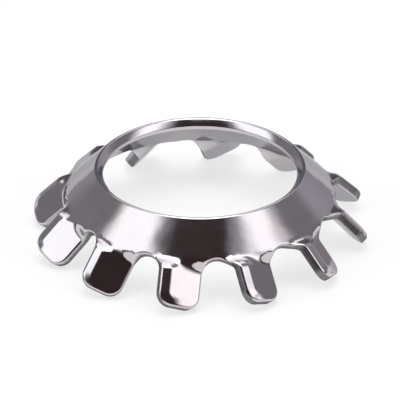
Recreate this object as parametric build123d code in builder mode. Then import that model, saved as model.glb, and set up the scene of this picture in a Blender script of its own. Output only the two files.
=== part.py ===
from build123d import *
from math import cos, hypot, radians, sin, sqrt
import os

# A countersunk toothed lock washer, stamped from one piece of hardened strip: a cone ring
# whose wide edge is cut into teeth, each twisted at its root so that one corner bites the
# screw's head and the other the countersink. The tool that twists a tooth presses a slanting
# margin along its raised side. The washer stands on its tooth tips on z = 0, narrow end up,
# with Z through the middle of its hole and a tooth on +X.

# Driving sizes, in millimetres and degrees
hole_diameter = 6.4      # clears the shank of a 6 mm countersunk screw
sheet = 0.4              # thickness of the strip
half_angle = 45.0        # between the cone and its axis, as under the screw's head
land = 0.12              # height of the upright wall at the hole's narrowest place
ring_slope = 1.43        # down the slope, from the sheet's inner corner to the gaps
tooth_slope = 1.62       # down the slope, from the bottoms of the gaps to the tips
tooth_count = 12
tooth_width = 1.4
tooth_twist = 30.0       # how far a tooth is turned about its own length
twist_length = 0.4       # down the slope, from the gaps to where the turn is complete
tip_radius = 0.45        # rounding of a tip's two corners
pressed_width = 0.3      # the margin on a tooth's raised side, in from the cut edge
pressed_depth = 0.115    # and how far down it is at the edge
edge_break = 0.05        # width taken off each cut edge by tumbling
neck_steps = 4           # stations along a twisting neck, whose path is a smooth step

half = radians(half_angle)
twist = radians(tooth_twist)
pitch = 360 / tooth_count
slope = ring_slope + tooth_slope
blade_start = ring_slope + twist_length

# The tooth on +X: along its length, across it, and square out of the sheet
along = Vector(sin(half), 0, -cos(half))
across = Vector(0, 1, 0)
outward = Vector(cos(half), 0, sin(half))
to_raised_corner = Axis((0, 0, 0), (-1, 1, 0))  # in a section, where across is X, outward Y

# The bore cuts the sheet's inner corner back until its wall is as high as the land
corner_radius = hole_diameter / 2 - land * sin(half) * cos(half)

# On the unrolled cone, each gap ends in an arc that touches the sides of two teeth
apex = (corner_radius + sheet / 2 * cos(half)) / sin(half)
gap_angle = radians(pitch / 2 * sin(half))
gap_radius = ((apex + ring_slope) * sin(gap_angle) - tooth_width / 2) / (1 - sin(gap_angle))
gap_centre = ring_slope + gap_radius
gap_aside = (apex + gap_centre) * sin(gap_angle)
gap_along = (apex + gap_centre) * cos(gap_angle) - apex

# The lowest point is on the broken edge of a tip's corner, so the sheet starts this far up:
# the falls are of a length across a turned tooth, along it, square to it, and round its tip
side_fall = sin(twist) * sin(half)
end_fall = cos(half)
face_fall = cos(twist) * sin(half)
tip_fall = hypot(side_fall, end_fall)
start_height = (
    side_fall * (tooth_width / 2 - tip_radius)
    + end_fall * (slope - tip_radius)
    + tip_fall * tip_radius
    + face_fall * sheet / 2
    - edge_break * min(face_fall, tip_fall)
)
start = Vector(corner_radius + sheet / 2 * cos(half), 0, start_height)


def station(distance, turn=0.0):
    """The plane across a tooth, at a distance down the middle of the sheet, turned with it."""
    turned = across * cos(turn) - outward * sin(turn)
    return Plane(start + along * distance, x_dir=turned, z_dir=along)


def half_width(distance):
    """Half the width of a tooth, which flares between the round ends of two gaps."""
    back = max(gap_along - distance, 0)
    return gap_aside - sqrt(gap_radius**2 - back**2)


def neck_section(step):
    """The sheet's section at a station of the neck. It flattens as it turns, while its pressed
    margin grows from a plain broken edge."""
    share = step / neck_steps
    turned = share**2 * (3 - 2 * share)
    distance = ring_slope + twist_length * share
    side = half_width(distance)
    lean = sheet / 2 * gap_angle * (1 - turned)
    cone_radius = (apex + distance) * sin(half) / cos(half)
    crown = side**2 / (2 * cone_radius) * (1 - turned)
    with BuildSketch(station(distance, twist * turned)) as section:
        with BuildLine():
            upper = ThreePointArc(
                (-side - lean, sheet / 2 - crown), (0, sheet / 2), (side + lean, sheet / 2 - crown)
            )
            lower = ThreePointArc(
                (side - lean, -sheet / 2 - crown), (0, -sheet / 2), (lean - side, -sheet / 2 - crown)
            )
            Line(upper @ 1, lower @ 0)
            Line(lower @ 1, upper @ 0)
        make_face()
        *plain_corners, _ = section.vertices().sort_by(to_raised_corner)
        chamfer(plain_corners, edge_break)
        raised_corner = section.vertices().sort_by(to_raised_corner)[-1]
        upper_edge = section.edges().sort_by(Axis.Y)[-1]
        width = edge_break + (pressed_width - edge_break) * turned
        depth = edge_break + (pressed_depth - edge_break) * turned
        chamfer(raised_corner, width, depth, reference=upper_edge)
    return section.sketch.face()


# One tooth's share of the ring, from the middle of one gap to the middle of the next
with BuildPart() as ring_sector:
    with BuildSketch(Plane.XZ.rotated((0, 0, -pitch / 2))) as strip:
        with Locations((start.X + along.X * gap_centre / 2, start.Z + along.Z * gap_centre / 2)):
            Rectangle(gap_centre, sheet, rotation=half_angle - 90)
        hole_rim = strip.vertices().sort_by(Axis.Y)[-1]
        chamfer(hole_rim, edge_break)
    revolve(axis=Axis.Z, revolution_arc=pitch)
    Hole(hole_diameter / 2)
    gap_end = Plane(start + along * gap_centre, x_dir=across, z_dir=outward)
    with Locations(*[Rot(0, 0, turn) * gap_end.location for turn in (-pitch / 2, pitch / 2)]):
        Cylinder(gap_radius, 2 * sheet, mode=Mode.SUBTRACT)
    gap_walls = ring_sector.faces().filter_by(GeomType.CYLINDER).sort_by(Axis.Z)[:2]
    chamfer(gap_walls.edges().filter_by(GeomType.BSPLINE), edge_break)
    split(bisect_by=station(ring_slope), keep=Keep.BOTTOM)
root_face = ring_sector.faces().sort_by(Axis((0, 0, 0), along))[-1]

# The flat blade of a tooth, already turned, with its rounded tip and its pressed margin
with BuildPart() as blade:
    section_plane = station(blade_start, twist)
    blade_face = Plane(section_plane.origin, x_dir=section_plane.x_dir, z_dir=-section_plane.y_dir)
    with BuildSketch(blade_face) as outline:
        Rectangle(tooth_width, slope - blade_start, align=(Align.CENTER, Align.MIN))
        fillet(outline.vertices().group_by(Axis.Y)[-1], tip_radius)
    extrude(amount=sheet / 2, both=True)
    down_the_tooth = Axis(blade_face.origin, along)
    chamfer(blade.edges().group_by(down_the_tooth)[1:], edge_break)
    margin_start = section_plane.from_local_coords((pressed_width - tooth_width / 2, sheet / 2))
    margin_end = section_plane.from_local_coords((-tooth_width / 2, sheet / 2 - pressed_depth))
    down_the_margin = margin_end - margin_start
    split(bisect_by=Plane(margin_start, x_dir=along, z_dir=along.cross(down_the_margin)))
blade_base = blade.faces().sort_by(down_the_tooth)[0]

# The neck twists from the cone's curved section to the blade's flat one
with BuildPart() as neck:
    loft([root_face, *[neck_section(step) for step in range(1, neck_steps)], blade_base])

# The three meet in whole faces, which joins them without working out how they cross
with BuildPart() as segment:
    add(ring_sector.part.fuse(neck.part, blade.part, glue=True))

with BuildPart() as washer:
    with PolarLocations(0, tooth_count):
        add(segment.part)

washer.part.label = "washer"
os.makedirs("parts", exist_ok=True)
export_step(washer.part, "parts/washer.step")
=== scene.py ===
from math import cos, pi, radians, sin, tan
import bpy
import numpy as np
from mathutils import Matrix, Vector


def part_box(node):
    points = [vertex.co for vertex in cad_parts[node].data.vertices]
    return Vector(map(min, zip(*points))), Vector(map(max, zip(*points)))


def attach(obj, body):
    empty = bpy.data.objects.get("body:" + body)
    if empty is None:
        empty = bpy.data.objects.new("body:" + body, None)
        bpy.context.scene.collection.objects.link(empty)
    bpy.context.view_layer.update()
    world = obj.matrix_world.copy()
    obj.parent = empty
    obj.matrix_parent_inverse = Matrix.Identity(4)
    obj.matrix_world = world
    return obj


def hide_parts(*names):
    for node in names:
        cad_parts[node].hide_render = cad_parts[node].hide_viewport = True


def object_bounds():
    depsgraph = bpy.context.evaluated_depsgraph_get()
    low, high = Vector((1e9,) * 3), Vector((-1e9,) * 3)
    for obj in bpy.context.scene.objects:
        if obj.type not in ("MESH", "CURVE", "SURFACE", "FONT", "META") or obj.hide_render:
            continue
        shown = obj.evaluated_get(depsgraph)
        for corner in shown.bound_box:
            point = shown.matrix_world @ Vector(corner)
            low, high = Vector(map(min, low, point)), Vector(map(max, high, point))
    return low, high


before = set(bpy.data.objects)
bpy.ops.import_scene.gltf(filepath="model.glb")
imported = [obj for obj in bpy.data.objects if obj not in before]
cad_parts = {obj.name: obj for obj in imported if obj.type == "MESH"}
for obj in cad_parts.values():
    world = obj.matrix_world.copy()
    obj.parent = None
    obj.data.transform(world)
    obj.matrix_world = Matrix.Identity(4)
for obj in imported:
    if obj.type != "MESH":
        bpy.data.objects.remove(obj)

# A countersunk toothed lock washer. The CAD solid gives its size and place. The piece made
# here is the same washer as one closed skin of fine quads, with its necks bent smoothly and
# its tumbled edges rounded, finished as bright steel. Its sheared edges are dull and dark,
# partly from sheared steel and partly as painted shade, and the worn crests of its rounded
# edges are brighter, partly from wear and partly as a painted highlight.

cad_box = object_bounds()

# ---------------------------------------------------------------- sizes, in metres and radians
MM = 0.001
hole_radius = 3.2 * MM
sheet = 0.4 * MM                # thickness of the strip
half = radians(45)              # between the cone and its axis
land = 0.12 * MM                # height of the upright wall at the hole's narrowest place
ring_slope = 1.43 * MM          # down the slope, from the sheet's inner corner to the gaps
tooth_slope = 1.62 * MM         # down the slope, from the bottoms of the gaps to the tips
tooth_count = 12
tooth_width = 1.4 * MM
tooth_twist = radians(30)
twist_start = 1.33 * MM         # down the slope, to where a tooth begins to turn
twist_length = 0.54 * MM        # from there to where the turn is complete
tip_radius = 0.45 * MM
pressed_width = 0.3 * MM        # the margin that the twisting tool presses on a tooth's raised
pressed_depth = 0.115 * MM      # side, in from the cut edge, and how far down the edge is
pressed_bend = 0.045 * MM       # half the width over which the face bends into the margin
edge_break = 0.05 * MM          # width taken off each cut edge by tumbling
land_round = 0.05 * MM          # radius worn on the two blunt corners of the land

slope = ring_slope + tooth_slope
margin = pressed_width + pressed_bend
corner_radius = hole_radius - land * sin(half) * cos(half)
apex = (corner_radius + sheet / 2 * cos(half)) / sin(half)
gap_angle = pi / tooth_count * sin(half)
gap_radius = ((apex + ring_slope) * sin(gap_angle) - tooth_width / 2) / (1 - sin(gap_angle))
gap_aside = (apex + ring_slope + gap_radius) * sin(gap_angle)
gap_along = (apex + ring_slope + gap_radius) * cos(gap_angle) - apex

# The largest round that stays inside the solid's broken edge touches its middle
edge_round = edge_break * (1 + cos(pi / 4))

# The tooth on +X: along its length, across it, and square out of the sheet. The rim of the
# hole is the highest place of the CAD solid, and the middle of the sheet starts under it.
along = np.array([sin(half), 0, -cos(half)])
across = np.array([0, 1, 0])
outward = np.array([cos(half), 0, sin(half)])
start_radius = corner_radius + sheet / 2 * cos(half)
start_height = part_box("washer")[1].z - (sheet / 2 - edge_break) * sin(half)
start = np.array([start_radius, 0, start_height])

# How finely the skin is divided
gap_steps = 16                  # columns beside a tooth, which end on the arc of a gap
tip_steps = 8                   # columns on each rounded corner of a tip
end_steps = 4                   # columns on the straight end of a tip
ring_steps = 10                 # rows from the hole to where the necks begin
neck_steps = 26                 # rows from there to the gaps and the teeth
neck_start = 0.6                # of the way, where the rows of the necks begin
tooth_steps = 22                # rows from the gaps to the tips
round_steps = 8                 # rows on each rounded edge
bend_steps = 6                  # rows over the bend into the pressed margin
land_steps = 3                  # rows on each corner of the land
close_row = 0.15                # of a row or a round, how near an edge's round the next row is
neck_share = 0.36               # of the ring beside the hole, what runs on into the tooth
weld = 1e-5 * MM                # seam points nearer than this are one

# Of the way round a cut edge's corner, where the sheared wall begins to show and where it is bare
wall_begins = 0.25
wall_bare = 0.75


# ---------------------------------------------------------------- the formed sheet
def smooth_step(x):
    """0 below 0, 1 above 1, and three x squared less two x cubed between."""
    x = np.clip(x, 0, 1)
    return x * x * (3 - 2 * x)


def soft_step(x):
    """0 below 0, 1 above 1, and six x to the fifth less fifteen x to the fourth and ten x cubed
    between, so that its bend starts and ends gently."""
    x = np.clip(x, 0, 1)
    return x**3 * (6 * x * x - 15 * x + 10)


def formed(q, s, n):
    """Places in the formed sheet. On the unrolled cone q runs across a tooth, s down its middle
    line and n out of the sheet. Polar about the apex, a point has a radius, and its angle over
    sin(half) is the turn about the washer's axis. Its place on the cone is split into a length
    down the tooth's middle line, one across it and one square to it. Down the neck these last
    two become q and n, and turn together about the middle line, so that each section of a
    tooth keeps its shape."""
    radius = np.hypot(q, s + apex)
    turn = np.arctan2(q, s + apex) / sin(half)
    cosine, sine = np.cos(turn), np.sin(turn)
    dip = n * sin(half) * cos(half) * (cosine - 1)
    down = radius * (sin(half) ** 2 * cosine + cos(half) ** 2) - apex + dip
    aside = radius * sin(half) * sine + n * cos(half) * sine
    fall = radius * sin(half) * cos(half) * (cosine - 1)
    raised = fall + n * (cos(half) ** 2 * cosine + sin(half) ** 2)
    turned = soft_step((down - twist_start) / twist_length)
    aside = aside + (q - aside) * turned
    raised = raised + (n - raised) * turned
    cosine, sine = np.cos(tooth_twist * turned), np.sin(tooth_twist * turned)
    wide = (aside * cosine + raised * sine)[..., None]
    high = (raised * cosine - aside * sine)[..., None]
    return start + down[..., None] * along + wide * across + high * outward


# ---------------------------------------------------------------- outlines on the unrolled cone
def row_shares(steps, close_start=False, close_end=False):
    """Even shares from 0 to 1, with one more close to an end where an edge's round begins."""
    shares = np.linspace(0, 1, steps + 1)
    close = close_row * shares[1]
    if close_start:
        shares = np.insert(shares, 1, close)
    if close_end:
        shares = np.insert(shares, -1, 1 - close)
    return shares


def gap_line(inset):
    """The round end of the gap on the right of a tooth, from the middle of the gap to the tooth's
    side: an arc that starts towards the apex and ends square across, its radius grown by inset."""
    angle = np.linspace(gap_angle, pi / 2, gap_steps + 1)
    q = gap_aside - (gap_radius + inset) * np.sin(angle)
    s = gap_along - (gap_radius + inset) * np.cos(angle)
    return q, s


def side_line(inset):
    """The straight right side of a tooth, from the end of the gap's arc to the tip's."""
    s = gap_along + row_shares(tooth_steps, close_end=True) * (slope - tip_radius - gap_along)
    return np.full(len(s), tooth_width / 2 - inset), s


def tip_line(inset):
    """The end of a tooth from its right side to its left: a quarter circle, a straight end and a
    quarter circle, all moved in by inset."""
    angle = np.linspace(pi / 2, 0, tip_steps + 1)
    end = tooth_width / 2 - tip_radius
    q = end + (tip_radius - inset) * np.sin(angle)
    s = slope - tip_radius + (tip_radius - inset) * np.cos(angle)
    straight = np.linspace(end, -end, end_steps + 1)[1:-1]
    return (
        np.concatenate([q, straight, -q[::-1]]),
        np.concatenate([s, np.full(len(straight), slope - inset), s[::-1]]),
    )


def outline(inset):
    """The whole cut edge of one tooth, from the gap on its right round the tip to the gap on its
    left. Points of two insets match one to one."""
    gap_q, gap_s = gap_line(inset)
    side_q, side_s = side_line(inset)
    tip_q, tip_s = tip_line(inset)
    q = np.concatenate([gap_q[:-1], side_q[:-1], tip_q, -side_q[-2::-1], -gap_q[-2::-1]])
    s = np.concatenate([gap_s[:-1], side_s[:-1], tip_s, side_s[-2::-1], gap_s[-2::-1]])
    return q, s


# ---------------------------------------------------------------- one tooth's share of the skin
def flat(q, s, n, cut=0.0, wear_and_highlight=0.0):
    """A grid of places in the flat sheet, with how far each is on the sheared wall, whose dark
    colour is partly painted shade, and on the worn crest of a rounded edge, whose brighter
    colour is partly a painted highlight, from 0 to 1."""
    return np.stack(np.broadcast_arrays(q, s, n, cut, wear_and_highlight), axis=-1)


def columns():
    """Shares of half the pitch, from 1 at the middle of the gap on the right to -1 on the left, at
    which the ring's columns leave the hole. The tooth's own keep the spacing of its tip."""
    tip_q, _ = tip_line(edge_round)
    beside = np.linspace(1, neck_share, gap_steps + 1)[:-1]
    return np.concatenate([beside, neck_share * tip_q / tip_q[0], -beside[::-1]])


def from_apex(shares, s):
    """The point of the unrolled cone at a share of half the pitch and a slope distance s."""
    return (apex + s) * np.sin(shares * gap_angle), (apex + s) * np.cos(shares * gap_angle) - apex


def face_grids(side, inset, rim):
    """One face of the sheet, at side times half its thickness, as two grids of straight columns:
    the ring's from the rim of the hole to the arcs of the gaps and the tooth's neck, and the
    tooth's from its neck to its tip."""
    gap_q, gap_s = gap_line(inset)
    tip_q, tip_s = tip_line(inset)
    low_q, low_s = from_apex(columns(), rim)
    high_q = np.concatenate([gap_q[:-1], tip_q, -gap_q[-2::-1]])
    high_s = np.concatenate([gap_s[:-1], np.full(len(tip_q), gap_along), gap_s[-2::-1]])
    upper = neck_start * row_shares(ring_steps, close_start=True)[:-1]
    lower = neck_start + (1 - neck_start) * row_shares(neck_steps, close_end=True)
    v = np.concatenate([upper, lower])[:, None]
    ring = flat(low_q + v * (high_q - low_q), low_s + v * (high_s - low_s), side * sheet / 2)
    v = row_shares(tooth_steps, close_end=True)[:, None]
    tooth = flat(tip_q, gap_along + v * (tip_s - gap_along), side * sheet / 2)
    return [grid if side > 0 else grid[::-1] for grid in (ring, tooth)]


def pressed(q, s, inset, n):
    """The heights n in the sheet once its raised side is pressed: the upper face sinks along a
    parabola over the bend and straight from there to the cut edge, and what is under it in
    proportion. The margin runs down the left side of a tooth and round that corner of its tip,
    and fades along the gap's arc and the end."""
    bend = np.clip((margin - inset) / (2 * pressed_bend), 0, 1)
    sunk = bend**2 * pressed_bend + np.clip(pressed_width - pressed_bend - inset, 0, None)
    beside = smooth_step(-q / tip_radius)
    below = smooth_step((s - ring_slope) / (gap_along - ring_slope))
    share = pressed_depth / pressed_width * sunk * beside * below / sheet
    return n - share * (n + sheet / 2)


def cut_edge():
    """The cut edge round a tooth: the bend into the pressed margin of the outer face, the margin,
    a quarter round, the sheared wall and a quarter round, carried along the outline. A place
    across the edge is an inset of the outline."""
    angle = np.linspace(0, pi / 2, round_steps + 1)
    rise, reach = np.sin(angle), np.cos(angle)
    bend = np.linspace(margin, pressed_width - pressed_bend, bend_steps + 1)
    level = np.append(bend, edge_round * (1 + close_row))
    inset = np.concatenate([level, edge_round * (1 - rise), edge_round * (1 - rise[::-1])])
    upper = sheet / 2 - edge_round * (1 - reach)
    n = np.concatenate([np.full(len(level), sheet / 2), upper, -upper[::-1]])[:, None]
    flat_rows = np.zeros(len(level))
    steep = np.concatenate([flat_rows, angle, angle[::-1]])[:, None] / (pi / 2)
    # The share on the sheared wall, darkened partly as painted shade, and on the worn crest, brightened
    # partly as a painted highlight
    cut = smooth_step((steep - wall_begins) / (wall_bare - wall_begins))
    wear_and_highlight = np.sin(pi * steep)
    rows = [outline(i) for i in inset]
    q = np.array([row[0] for row in rows])
    s = np.array([row[1] for row in rows])
    return flat(q, s, pressed(q, s, inset[:, None], n), cut, wear_and_highlight)


def corner(before, at, after, radius, steps):
    """Points on the arc that rounds a profile's corner. Its middle is on the line that halves the
    corner, and its points go in even turns from one straight line to the other."""
    before, at, after = (np.array(p, float) for p in (before, at, after))
    one, two = before - at, after - at
    one, two = one / np.linalg.norm(one), two / np.linalg.norm(two)
    half_turn = np.arccos(np.clip(one @ two, -1, 1)) / 2
    middle = at + (one + two) / np.linalg.norm(one + two) * radius / sin(half_turn)
    first, last = (at + line * radius / tan(half_turn) - middle for line in (one, two))
    share = np.linspace(0, 1, steps + 1)[:, None]
    whole = np.arccos(np.clip(first @ last / radius**2, -1, 1))
    return middle + (np.sin((1 - share) * whole) * first + np.sin(share * whole) * last) / sin(whole)


def rim_profile():
    """The edge of the hole as lengths down the slope and out of the sheet: the upper face, a
    quarter round, the cut across the sheet, the upright land and the lower face."""
    top, bottom = sheet / 2, -sheet / 2
    land_top = (0, (hole_radius - start_radius) / cos(half))
    land_end = ((hole_radius - corner_radius) / sin(half), bottom)
    return np.concatenate(
        [
            corner((slope, top), (0, top), (0, bottom), edge_round, round_steps),
            corner((0, top), land_top, land_end, land_round, land_steps),
            corner(land_top, land_end, (slope, bottom), land_round, land_steps),
        ]
    )


def hole_rim():
    """The edge of the hole, its profile carried round the washer's axis. The worn crest, brightened
    partly as a painted highlight, is on its upper round."""
    profile = rim_profile()
    q, s = from_apex(columns(), profile[:, :1])
    wear_and_highlight = np.zeros(len(profile))
    wear_and_highlight[: round_steps + 1] = np.sin(np.linspace(0, pi, round_steps + 1))
    return flat(q, s, profile[:, 1:], wear_and_highlight=wear_and_highlight[:, None])[::-1]


# ---------------------------------------------------------------- the whole skin
def grid_faces(rows, count):
    """Corners of the quads of a grid whose points are numbered row by row."""
    first = (np.arange(rows - 1)[:, None] * count + np.arange(count - 1)).ravel()
    return np.stack([first, first + 1, first + count + 1, first + count], axis=-1)


def washer_skin():
    """Points and quads of every tooth's share, each turned about the axis by a whole pitch, with
    the points' places in the flat sheet."""
    rim = rim_profile()[:, 0]
    upper = face_grids(1, margin, rim[0])
    lower = face_grids(-1, edge_round, rim[-1])
    places, faces, count = [], [], 0
    for grid in [*upper, *lower, cut_edge(), hole_rim()]:
        faces.append(grid_faces(*grid.shape[:2]) + count)
        places.append(grid.reshape(-1, grid.shape[-1]))
        count += len(places[-1])
    places, faces = np.concatenate(places), np.concatenate(faces)
    points = formed(*places[:, :3].T)
    turn = 2 * pi / tooth_count * np.arange(tooth_count)
    cosine, sine = np.cos(turn), np.sin(turn)
    zero, one = np.zeros(tooth_count), np.ones(tooth_count)
    turns = np.array([[cosine, -sine, zero], [sine, cosine, zero], [zero, zero, one]])
    everywhere = np.einsum("ijk,nj->kni", turns, points).reshape(-1, 3)
    shifts = count * np.arange(tooth_count)[:, None, None]
    return everywhere, (faces + shifts).reshape(-1, 4), np.tile(places, (tooth_count, 1))


def make_piece(name, points, faces):
    """A smooth-shaded object at the origin."""
    mesh = bpy.data.meshes.new(name)
    mesh.from_pydata(points, [], faces)
    mesh.polygons.foreach_set("use_smooth", np.ones(len(faces), bool))
    mesh.update()
    piece = bpy.data.objects.new(name, mesh)
    bpy.context.scene.collection.objects.link(piece)
    return piece


def make_washer():
    """The washer's skin with its seams welded. Its points carry their place in the flat sheet in
    millimetres, measured across from the middle of a tooth, down from the cone's apex and out
    of the sheet, and how far they are on the sheared wall, darkened partly as painted shade,
    and on a worn crest, brightened partly as a painted highlight."""
    points, faces, places = washer_skin()
    cells = np.round(points / weld).astype(np.int64)
    _, kept, place = np.unique(cells, axis=0, return_index=True, return_inverse=True)
    washer = make_piece("toothed_washer", points[kept], place.ravel()[faces])
    q, s, n, cut, wear_and_highlight = places[kept].T
    in_sheet = np.column_stack([np.abs(q), s + apex, n]) / MM
    attributes = washer.data.attributes
    attributes.new("place_in_sheet", "FLOAT_VECTOR", "POINT").data.foreach_set("vector", in_sheet.ravel())
    for name, values in (("sheared", cut), ("wear_and_highlight", wear_and_highlight)):
        attributes.new(name, "FLOAT", "POINT").data.foreach_set("value", np.ascontiguousarray(values))
    return washer


# ---------------------------------------------------------------- shader helpers
def node(tree, kind, inputs=None, **settings):
    """A new node. An input is a value, or the socket that feeds it."""
    made = tree.nodes.new(kind)
    for name, value in settings.items():
        setattr(made, name, value)
    for name, value in (inputs or {}).items():
        if isinstance(value, bpy.types.NodeSocket):
            tree.links.new(value, made.inputs[name])
        else:
            made.inputs[name].default_value = value
    return made


def calculate(tree, operation, *values):
    """A Math node's result."""
    return node(tree, "ShaderNodeMath", dict(enumerate(values)), operation=operation).outputs[0]


def between(tree, share, low, high):
    """A value that goes from low to high as the share goes from 0 to 1."""
    return calculate(tree, "MULTIPLY_ADD", share, high - low, low)


def step(tree, value, zero, one):
    """A smooth step from 0 at one value to 1 at another."""
    limits = {"Value": value, "From Min": zero, "From Max": one}
    return node(tree, "ShaderNodeMapRange", limits, interpolation_type="SMOOTHSTEP").outputs[0]


def scaled(tree, vector, factors):
    """A vector with each part multiplied by its own factor."""
    inputs = {0: vector, 1: factors}
    return node(tree, "ShaderNodeVectorMath", inputs, operation="MULTIPLY").outputs[0]


def noise(tree, vector, pattern):
    """A Noise Texture's value, for a pattern's scale, detail and roughness."""
    scale, detail, rough = pattern
    inputs = {"Vector": vector, "Scale": scale, "Detail": detail, "Roughness": rough}
    return node(tree, "ShaderNodeTexNoise", inputs).outputs["Fac"]


def blend(tree, share, below, above):
    """A value below where the share is 0, and above where it is 1."""
    limits = {"Factor": share, "A": below, "B": above}
    return node(tree, "ShaderNodeMix", limits).outputs["Result"]


def blend_colours(tree, share, below, above, how="MIX"):
    """A colour below where the share is 0, and above where it is 1."""
    limits = {"Factor": share, "A": below, "B": above}
    mix = node(tree, "ShaderNodeMix", limits, data_type="RGBA", blend_type=how)
    return mix.outputs["Result"]


def shaded(tree, colour, share, shades):
    """A colour times a value that goes from the first shade to the second with the share."""
    return blend_colours(tree, 1, colour, between(tree, share, *shades), "MULTIPLY")


def painted(name):
    """A new material of this name, with its node tree and its shader."""
    material = bpy.data.materials.new(name)
    material.use_nodes = True
    return material, material.node_tree, material.node_tree.nodes["Principled BSDF"]


# ---------------------------------------------------------------- bright steel
steel = (0.60, 0.585, 0.61, 1)
warm_steel = (0.615, 0.58, 0.59, 1)
# Brighter crests of the worn edges, partly wear and partly a painted highlight
wear_and_highlight_steel = (0.76, 0.745, 0.765, 1)
# Dark colours of the sheared wall, partly dull sheared steel and partly painted shade
burnished_steel_and_shade = (0.46, 0.445, 0.46, 1)
torn_steel_and_shade = (0.23, 0.22, 0.225, 1)
grazing_tint = (0.5, 0.5, 0.52, 1)          # where a face is seen from low along it

# Patterns: how many times each repeats in a millimetre, its detail and its roughness
patch_pattern = (0.9, 3.0, 0.55)
tint_pattern = (0.6, 2.0, 0.5)
wave_pattern = (0.7, 1.0, 0.4)
dent_pattern = (2.3, 1.0, 0.5)
grain_pattern = (14.0, 3.0, 0.6)
streak_pattern = (15.0, 2.0, 0.6)
streak_stretch = (1, 1, 0.12)               # streaks run through the sheet

# How high they stand, in micrometres
wave_height = 40.0
dent_height = 3.5
grain_height = 0.25
streak_height = 3.0
micron = 0.001 * MM

# What a pattern changes, from where it is 0 to where it is 1
face_shades = (0.9, 1.06)
face_roughness = (0.08, 0.16)
wear_and_highlight_shares = (0.2, 1.0)
torn_shades = (0.5, 1.5)
burnished_shades = (0.8, 1.2)
wall_roughness = (0.38, 0.2)                # torn, and burnished
warm_border = (0.42, 0.62)                  # of the tint pattern, from plain to warm
burnished_border = (0.09, 0.13)             # millimetres out of the sheet's middle
border_sway = 0.1                           # millimetres, how far the streaks move it


def steel_face(tree, spot):
    """The colour and roughness of the tumbled faces: soft patches, a little brighter and duller,
    over wider ones where the plating is warmer. The worn edges are brighter, partly from wear
    and partly as a painted highlight."""
    patches = noise(tree, spot, patch_pattern)
    warm = step(tree, noise(tree, spot, tint_pattern), *warm_border)
    colour = shaded(tree, blend_colours(tree, warm, steel, warm_steel), patches, face_shades)
    # The worn crests, brightened partly as a painted highlight
    wear_and_highlight = node(tree, "ShaderNodeAttribute", attribute_name="wear_and_highlight").outputs["Fac"]
    wear_and_highlight = calculate(tree, "MULTIPLY", wear_and_highlight, between(tree, patches, *wear_and_highlight_shares))
    return blend_colours(tree, wear_and_highlight, colour, wear_and_highlight_steel), between(tree, patches, *face_roughness)


def sheared_wall(tree, place, streaks):
    """The colour and roughness of a sheared wall: burnished by the punch near the outer face, and
    torn and streaked over the rest, with an uneven border. Both are darker than the faces,
    partly from the dull sheared steel and partly as painted shade."""
    through = node(tree, "ShaderNodeSeparateXYZ", {0: place}).outputs["Z"]
    uneven = calculate(tree, "MULTIPLY_ADD", streaks, border_sway, through)
    burnished = step(tree, uneven, *burnished_border)
    torn = shaded(tree, torn_steel_and_shade, streaks, torn_shades)
    smooth = shaded(tree, burnished_steel_and_shade, streaks, burnished_shades)
    return blend_colours(tree, burnished, torn, smooth), between(tree, burnished, *wall_roughness)


def steel_height(tree, spot, streaks, shear):
    """The height of the surface in micrometres: the waves and small dents of pressing, the grain of
    tumbling and, on the sheared wall, its streaks."""
    height = calculate(tree, "MULTIPLY", noise(tree, spot, wave_pattern), wave_height)
    height = calculate(tree, "MULTIPLY_ADD", noise(tree, spot, dent_pattern), dent_height, height)
    height = calculate(tree, "MULTIPLY_ADD", noise(tree, spot, grain_pattern), grain_height, height)
    streaks = calculate(tree, "MULTIPLY", streaks, shear)
    return calculate(tree, "MULTIPLY_ADD", streaks, streak_height, height)


def bright_steel():
    """Bright tumbled steel with brighter worn edges, partly a painted highlight, and dull, dark
    sheared walls, partly painted shade. Its patterns lie in space, and the wall's streaks in
    the flat sheet, both in millimetres."""
    material, tree, shader = painted("bright_steel")
    shader.inputs["Metallic"].default_value = 1
    shader.inputs["Specular Tint"].default_value = grazing_tint
    spot = node(tree, "ShaderNodeTexCoord").outputs["Object"]
    spot = scaled(tree, spot, (1 / MM, 1 / MM, 1 / MM))
    place = node(tree, "ShaderNodeAttribute", attribute_name="place_in_sheet").outputs["Vector"]
    shear = node(tree, "ShaderNodeAttribute", attribute_name="sheared").outputs["Fac"]
    streaks = noise(tree, scaled(tree, place, streak_stretch), streak_pattern)
    face_colour, face_rough = steel_face(tree, spot)
    wall_colour, wall_rough = sheared_wall(tree, place, streaks)
    tree.links.new(blend_colours(tree, shear, face_colour, wall_colour), shader.inputs["Base Color"])
    tree.links.new(blend(tree, shear, face_rough, wall_rough), shader.inputs["Roughness"])
    height = steel_height(tree, spot, streaks, shear)
    bump = node(tree, "ShaderNodeBump", {"Height": height, "Distance": micron, "Strength": 1})
    tree.links.new(bump.outputs[0], shader.inputs["Normal"])
    return material


washer = make_washer()
washer.data.materials.append(bright_steel())
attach(washer, "root")
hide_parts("washer")

# ---------------------------------------------------------------- floor
floor_reach = 2.0                           # metres from the washer to each side
floor_colour = (0.34, 0.34, 0.34, 1)
floor_lift = 0.70                           # of white, what the floor shows in its own shade


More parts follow.
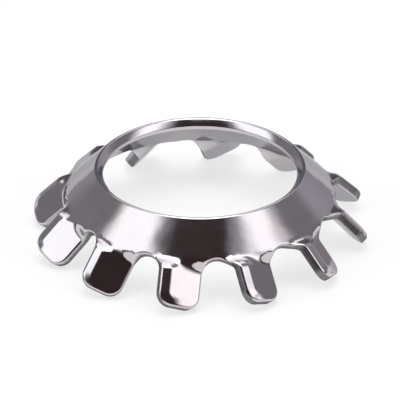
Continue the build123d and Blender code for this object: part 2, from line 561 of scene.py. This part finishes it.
def pale_floor():
    """A plain matt floor, clear from below, that stays pale in its own shade."""
    material, tree, matt = painted("pale_floor")
    path = node(tree, "ShaderNodeLightPath").outputs
    seen = calculate(tree, "MAXIMUM", path["Is Camera Ray"], path["Is Glossy Ray"])
    seen = calculate(tree, "MAXIMUM", seen, path["Is Transmission Ray"])
    matt.inputs["Base Color"].default_value = floor_colour
    matt.inputs["Roughness"].default_value = 1
    matt.inputs["Specular IOR Level"].default_value = 0
    matt.inputs["Emission Color"].default_value = (1, 1, 1, 1)
    tree.links.new(calculate(tree, "MULTIPLY", seen, floor_lift), matt.inputs["Emission Strength"])
    clear = node(tree, "ShaderNodeBsdfTransparent")
    below = node(tree, "ShaderNodeNewGeometry").outputs["Backfacing"]
    sides = node(tree, "ShaderNodeMixShader", {0: below, 1: matt.outputs[0], 2: clear.outputs[0]})
    tree.links.new(sides.outputs[0], tree.nodes["Material Output"].inputs["Surface"])
    return material


corners = floor_reach * np.array([(-1, -1, 0), (1, -1, 0), (1, 1, 0), (-1, 1, 0)])
floor = make_piece("floor", corners, [(0, 1, 2, 3)])
floor.data.materials.append(pale_floor())

# ---------------------------------------------------------------- light
camera_azimuth = radians(8)

# What stands round the washer, each patch on top of those before it: its middle and half its
# width in degrees round from the camera's side, its lowest and highest elevation, how far its
# sides and ends fade, and its colour times its strength
surround = (0.456, 0.425, 0.475)
around = [
    ((107, 15), (0, 95), (14, 10), (0.247, 0.234, 0.253)),       # grey wall on the right
    ((-107, 15), (0, 95), (14, 10), (0.247, 0.234, 0.253)),      # and on the left
    ((-136, 22), (10, 60), (16, 14), (0.27, 0.26, 0.28)),        # darker wall behind on the left
    ((0, 108), (-20, 9), (20, 10), (0.062, 0.055, 0.062)),       # dark low room behind the camera
    ((-75, 21), (16, 78), (14, 12), (1.66, 1.66, 1.69)),         # left softbox
    ((71, 15), (14, 78), (22, 12), (1.73, 1.69, 1.71)),          # right softbox
    ((-2, 42), (-20, 74), (16, 8), (0.042, 0.028, 0.028)),       # dark flag round the camera
    ((180, 30), (10, 38), (16, 8), (0.14, 0.13, 0.145)),         # dark wall behind
    ((180, 38), (42, 80), (24, 10), (1.5, 1.47, 1.49)),          # softbox over it
    ((0, 181), (70, 120), (1, 8), (3.0, 3.0, 3.0)),              # overhead softbox
]


def patch_mask(tree, turn, height, width, rise, fades):
    """Where a patch of the surroundings is, from 0 to 1: a smooth step at each side times one at
    each end, each with its middle on the patch's border."""
    middle, reach = width
    low, high = rise
    side_fade, end_fade = (fade / 2 for fade in fades)
    aside = calculate(tree, "WRAP", calculate(tree, "SUBTRACT", turn, middle), 180, -180)
    aside = calculate(tree, "ABSOLUTE", aside)
    mask = step(tree, aside, reach + side_fade, reach - side_fade)
    mask = calculate(tree, "MULTIPLY", mask, step(tree, height, low - end_fade, low + end_fade))
    return calculate(tree, "MULTIPLY", mask, step(tree, height, high + end_fade, high - end_fade))


def studio():
    """The world: a direction's turn from the camera's side and its elevation, in degrees, pick its
    colour."""
    world = bpy.data.worlds.new("studio")
    world.use_nodes = True
    tree = world.node_tree
    direction = node(tree, "ShaderNodeTexCoord").outputs["Generated"]
    axes = node(tree, "ShaderNodeSeparateXYZ", {0: direction}).outputs
    turn = calculate(tree, "ARCTAN2", axes["X"], calculate(tree, "MULTIPLY", axes["Y"], -1))
    turn = calculate(tree, "SUBTRACT", turn, camera_azimuth)
    turn = calculate(tree, "DEGREES", turn)
    height = calculate(tree, "DEGREES", calculate(tree, "ARCSINE", axes["Z"]))
    sky = (*surround, 1)
    for width, rise, fades, colour in around:
        mask = patch_mask(tree, turn, height, width, rise, fades)
        sky = blend_colours(tree, mask, sky, (*colour, 1))
    tree.links.new(sky, tree.nodes["Background"].inputs["Color"])
    return world


scene = bpy.context.scene
scene.world = studio()
scene.view_settings.view_transform = "Standard"

# ---------------------------------------------------------------- camera
camera_elevation = radians(29)
camera_lens = 600                           # millimetres: a long lens from far off
frame_width = 13.2 * MM                     # what the picture takes in at the washer's middle
clip_reach = 100                            # times nearer and farther than the washer


def make_camera(centre):
    """A camera that looks at the centre along its azimuth and elevation, from as far as its lens
    needs to take in the frame's width."""
    data = bpy.data.cameras.new("camera")
    camera = bpy.data.objects.new("camera", data)
    scene.collection.objects.link(camera)
    data.lens = camera_lens
    distance = frame_width * data.lens / data.sensor_width
    level = cos(camera_elevation)
    sight = Vector((sin(camera_azimuth) * level, -cos(camera_azimuth) * level, sin(camera_elevation)))
    camera.location = centre + sight * distance
    camera.rotation_euler = sight.to_track_quat("Z", "Y").to_euler()
    data.clip_start = distance / clip_reach
    data.clip_end = distance * clip_reach
    return camera


scene.camera = make_camera((cad_box[0] + cad_box[1]) / 2)
